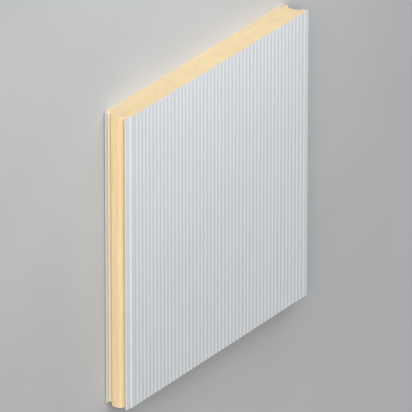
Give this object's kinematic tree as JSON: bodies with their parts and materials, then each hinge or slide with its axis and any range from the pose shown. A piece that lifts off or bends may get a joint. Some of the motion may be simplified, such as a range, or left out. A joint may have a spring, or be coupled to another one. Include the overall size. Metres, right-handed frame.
{
  "type": "insulated sandwich panel",
  "caption": "Insulated wall panel: micro-ribbed outer steel facing, flat inner steel facing and rigid foam core, with tongue and groove long edges.",
  "frame": {"origin": "centre of the overall footprint, on the inner facing that the panel lies on", "axes": "+X across the cover width towards the groove edge, +Y along the panel, +Z out of the micro-ribbed outer facing"},
  "size_m": [1.0184, 1, 0.092],
  "materials": {
    "outer_coating": "pale grey-white coil coating, satin",
    "inner_coating": "off-white lining coating, satin",
    "foam": "cream-yellow rigid foam with fine closed cells"
  },
  "bodies": {
    "root": {"outer_facing": "outer_coating", "inner_facing": "inner_coating", "foam_core": "foam"}
  },
  "joints": []
}
